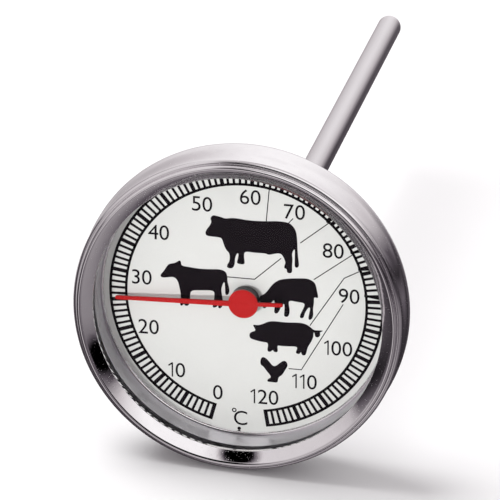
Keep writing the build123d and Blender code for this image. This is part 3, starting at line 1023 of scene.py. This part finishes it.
SHEEP = [
    (2.2, 0.8), (3.0, 1.2), (3.5, 1.8), (4.0, 2.7), (4.6, 3.5), (5.4, 4.15), (6.2, 4.4),
    (7.2, 4.65), (8.6, 4.85), (10.1, 5.05), (11.0, 4.7), (11.5, 4.3), (11.8, 3.1),
    (12.15, 1.85), (11.8, 1.75), (11.35, 1.9), (11.45, 0.8), (11.3, -0.3), (11.5, -1.4),
    (11.15, -2.3), (10.6, -2.3), (10.75, -1.2), (10.9, -0.1), (10.55, -0.1), (10.0, -1.2),
    (9.85, -2.2), (9.15, -2.2), (9.3, -1.4), (9.8, -0.3), (9.95, 0.6), (8.6, 0.6),
    (7.25, 0.75), (7.2, 0.0), (7.5, -1.0), (7.35, -2.3), (6.5, -2.35), (6.6, -1.2),
    (6.5, 0.2), (6.0, -0.5), (5.7, -1.5), (5.3, -2.0), (4.85, -1.9), (4.9, -0.8),
    (4.8, 0.6), (4.4, 0.0), (3.8, -0.7), (3.2, -1.4), (2.8, -1.0), (2.4, -0.2),
]
PIG = [
    (0.9, -6.3), (1.15, -5.85), (1.95, -5.55), (1.75, -5.05), (1.3, -4.45), (2.2, -4.5),
    (3.0, -4.2), (4.0, -3.55), (5.0, -3.35), (7.0, -3.35), (8.6, -3.1), (10.0, -3.05),
    (11.0, -3.5), (11.6, -4.05), (12.2, -4.05), (13.3, -3.9), (13.0, -4.2), (12.7, -4.3),
    (12.85, -4.9), (12.4, -5.35), (11.95, -5.2), (11.85, -4.6), (11.65, -4.4),
    (11.7, -5.3), (11.3, -6.4), (10.8, -7.3), (10.65, -8.6), (10.3, -8.9), (9.9, -8.8),
    (9.75, -8.2), (9.5, -8.8), (8.8, -8.6), (9.05, -8.0), (9.1, -7.4), (7.8, -7.55),
    (6.4, -7.7), (5.65, -7.6), (5.95, -8.9), (5.2, -8.95), (5.0, -8.5), (4.7, -9.0),
    (4.0, -9.0), (4.25, -7.35), (3.2, -7.4), (2.0, -7.25), (1.0, -7.0),
]
HEN = [
    (3.0, -11.0), (3.1, -10.3), (3.5, -10.05), (4.1, -10.35), (4.7, -11.0), (5.1, -11.45),
    (5.6, -11.5), (6.2, -10.9), (6.9, -10.25), (7.45, -10.4), (7.7, -11.1), (7.3, -11.9),
    (6.8, -13.0), (6.15, -13.4), (6.2, -14.45), (5.2, -14.45), (4.3, -14.5), (4.45, -13.95),
    (4.95, -13.7), (4.8, -13.2), (4.1, -12.5), (3.6, -11.8), (3.1, -11.6),
]


def ink_shape(name, outline):
    """A filled closed curve that rounds the corners of its outline a little."""
    deselect_all()
    curve = bpy.data.curves.new(name, "CURVE")
    curve.dimensions = "2D"
    curve.fill_mode = "BOTH"
    curve.extrude = INK_T * MM / 2
    spline = curve.splines.new("NURBS")
    spline.points.add(len(outline) - 1)
    for point, (x, z) in zip(spline.points, outline):
        point.co = (x * MM, z * MM, 0, 1)
    spline.use_cyclic_u = True
    spline.order_u = 3
    spline.resolution_u = 4
    piece = bpy.data.objects.new(name, curve)
    bpy.context.scene.collection.objects.link(piece)
    bpy.context.view_layer.objects.active = piece
    piece.select_set(True)
    bpy.ops.object.convert(target="MESH")
    on_dial(piece, (0, 0), 0)
    return join_ink(name, [piece])


for name, outline in {"bull": BULL, "calf": CALF, "sheep": SHEEP, "pig": PIG, "hen": HEN}.items():
    ink_shape(name + "_print", outline)

# %% [markdown]
# Thin guide lines lead from each animal to its temperature, and a dot marks six o'clock.

# %% Guide lines and dot
LINE_WIDTH = 0.16
DOT_R = 0.3
DOT_PLACE = (0.05, -23.7)
GUIDE_READINGS = (74.5, 81.2, 84.4, 89.2)
SLANT = 0.35
GUIDES = [
    [(2.7, 14.2), (2.9, 20.0)], [(6.4, 14.4), (7.1, 15.3)],
    [(-3.3, 3.5), (1.3, 3.7), (5.5, 8.0)], [(8.6, 11.2), (13.3, 15.5)],
    [(11.2, 5.0), (17.3, 10.2)], [(11.0, -3.3), (16.2, 5.9), (18.6, 7.4)],
    [(7.9, -11.6), (10.0, -11.5), (16.3, 1.2)],
]


def dial_point(reading, distance):
    angle = math.radians((reading - TOP_READING / 2) * PER_DEGREE)
    return (distance * math.sin(angle), distance * math.cos(angle))


def ink_dot():
    deselect_all()
    bpy.ops.mesh.primitive_cylinder_add(vertices=32, radius=DOT_R * MM, depth=INK_T * MM)
    dot = bpy.context.object
    on_dial(dot, DOT_PLACE, 0)
    return dot


strokes = [ink_stroke(a, b, LINE_WIDTH) for line in GUIDES for a, b in zip(line, line[1:])]
for reading in GUIDE_READINGS:
    strokes.append(ink_stroke(dial_point(reading - SLANT, RING_INNER[0]),
                              dial_point(reading + SLANT, RING_OUTER[1]), THIN_MARK))
join_ink("guide_print", strokes + [ink_dot()])

# %% [markdown]
# The pieces inside the case and the stem keep their CAD shape. Each gets its own finish.

# %% Finishes of the inside pieces
INSIDE = {
    "dial_seat_ring": ZINC, "stem_lock_washer": ZINC, "lens_gasket": RUBBER,
    "upper_guide": PLASTIC, "middle_guide": PLASTIC, "lower_guide": PLASTIC,
    "thrust_washer": PLASTIC, "bimetal_coil": STRIP, "coil_anchor": BRASS, "coil_clip": BRASS,
    "spindle": WIRE, "spindle_collar": BRASS,
}
for node, material in INSIDE.items():
    mesh = frame["nodes"][node].data
    mesh.materials.clear()
    mesh.materials.append(material)
print(len(INSIDE), "inside pieces have a finish")
